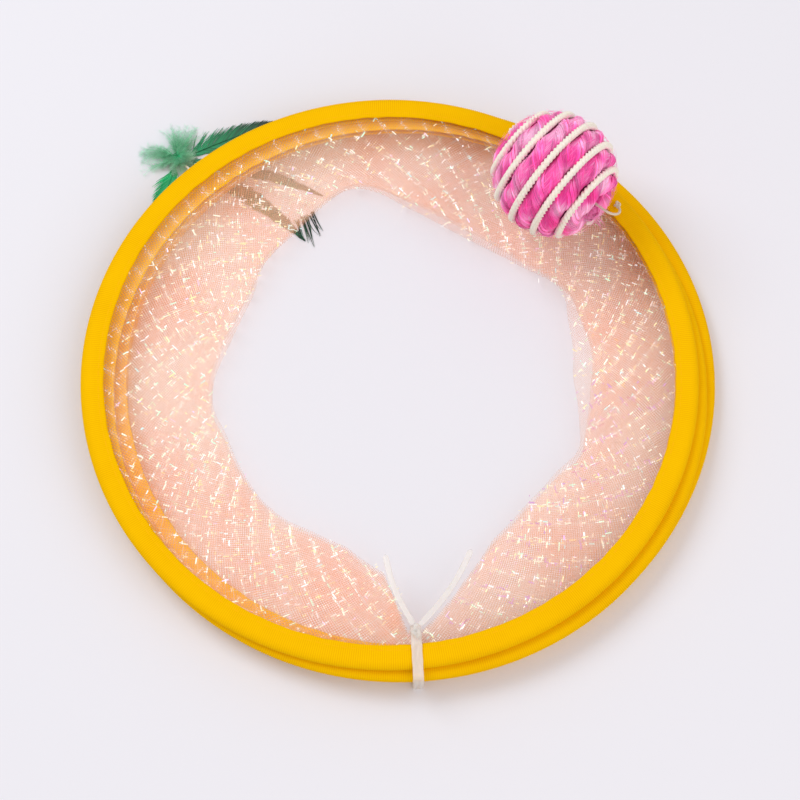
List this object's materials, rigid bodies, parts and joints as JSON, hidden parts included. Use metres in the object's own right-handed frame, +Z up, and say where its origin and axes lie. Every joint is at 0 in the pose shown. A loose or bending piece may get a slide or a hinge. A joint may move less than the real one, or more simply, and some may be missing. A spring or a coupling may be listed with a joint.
{
  "type": "cat tunnel",
  "caption": "Collapsible sheer mesh cat tunnel on taped wire hoops, folded flat and tied, with a rope-wound toy ball and a feather lure.",
  "frame": {"origin": "on the floor, at the middle of the folded stack's outline", "axes": "+Z up through the stack of hoops, which is also the way the tunnel opens; -Y towards the tie at the front; the ball lies at +X +Y and the feathers at -X +Y"},
  "size_m": [0.2494, 0.2483, 0.0643],
  "materials": {
    "yellow_tape": "ribbed woven polyester tape, matt with a soft sheen",
    "peach_mesh": "sheer woven mesh with iridescent tinsel threads",
    "pink_rope": "hairy dyed sisal rope",
    "cream_cord": "twisted natural cord",
    "light_feather": "dyed feather and down",
    "dark_feather": "dyed feather with dark edges",
    "clear_strap": "clear soft plastic strap",
    "spring_wire": "drawn spring steel wire, crimped steel sleeve",
    "foam_core": "foam, hidden under the windings",
    "elastic": "covered elastic and cord, knotted"
  },
  "bodies": {
    "hoop_4": {"hoop_4_binding": "yellow_tape", "hoop_4_wire": "spring_wire", "hoop_4_ferrule": "spring_wire", "mesh_bay_3": "peach_mesh", "lure_anchor_knot": "elastic", "tie_band": "clear_strap", "tie_knot": "clear_strap", "tie_tail_left": "clear_strap", "tie_tail_right": "clear_strap"},
    "hoop_3": {"hoop_3_binding": "yellow_tape", "hoop_3_wire": "spring_wire", "hoop_3_ferrule": "spring_wire", "mesh_bay_2": "peach_mesh"},
    "hoop_2": {"hoop_2_binding": "yellow_tape", "hoop_2_wire": "spring_wire", "hoop_2_ferrule": "spring_wire", "mesh_bay_1": "peach_mesh"},
    "hoop_1": {"hoop_1_binding": "yellow_tape", "hoop_1_wire": "spring_wire", "hoop_1_ferrule": "spring_wire", "ball_anchor_knot": "elastic"},
    "ball_hanger": {"ball_elastic": "elastic", "ball_stop_knot": "elastic"},
    "ball": {"ball_core": "foam_core", "ball_pink_rope": "pink_rope", "ball_cream_cord": "cream_cord"},
    "feather_lure": {"lure_cord": "elastic", "lure_binding": "light_feather", "feather_long": "dark_feather", "feather_upper": "dark_feather", "feather_lower": "dark_feather", "feather_side": "light_feather", "feather_down": "light_feather"}
  },
  "joints": [
    {"name": "open_bay_3", "type": "slide", "parent": "hoop_4", "child": "hoop_3", "axis": [0, 0, 1], "range_m": [0, 0.16], "deforming": ["mesh_bay_3", "tie_band", "tie_knot", "tie_tail_left", "tie_tail_right"]},
    {"name": "open_bay_2", "type": "slide", "parent": "hoop_3", "child": "hoop_2", "axis": [0, 0, 1], "range_m": [0, 0.16], "deforming": ["mesh_bay_2"]},
    {"name": "open_bay_1", "type": "slide", "parent": "hoop_2", "child": "hoop_1", "axis": [0, 0, 1], "range_m": [0, 0.16], "deforming": ["mesh_bay_1"]},
    {"name": "ball_swing", "type": "hinge", "parent": "hoop_1", "child": "ball_hanger", "pos_m": [0.08753, 0.07176, 0.0184], "axis": [-0.6046, 0.7965, 0], "range_deg": [0, 90]},
    {"name": "ball_spin", "type": "hinge", "parent": "ball_hanger", "child": "ball", "pos_m": [0.0605, 0.07407, 0.03943], "axis": [0.7869, -0.6142, -0.0599], "continuous": true},
    {"name": "lure_swing", "type": "hinge", "parent": "hoop_4", "child": "feather_lure", "pos_m": [-0.08274, 0.09148, 0], "axis": [0, 0, 1], "range_deg": [-15, 15]}
  ],
  "couplings": [
    {"joint": "open_bay_2", "follows": "open_bay_3", "ratio": 1},
    {"joint": "open_bay_1", "follows": "open_bay_3", "ratio": 1}
  ]
}
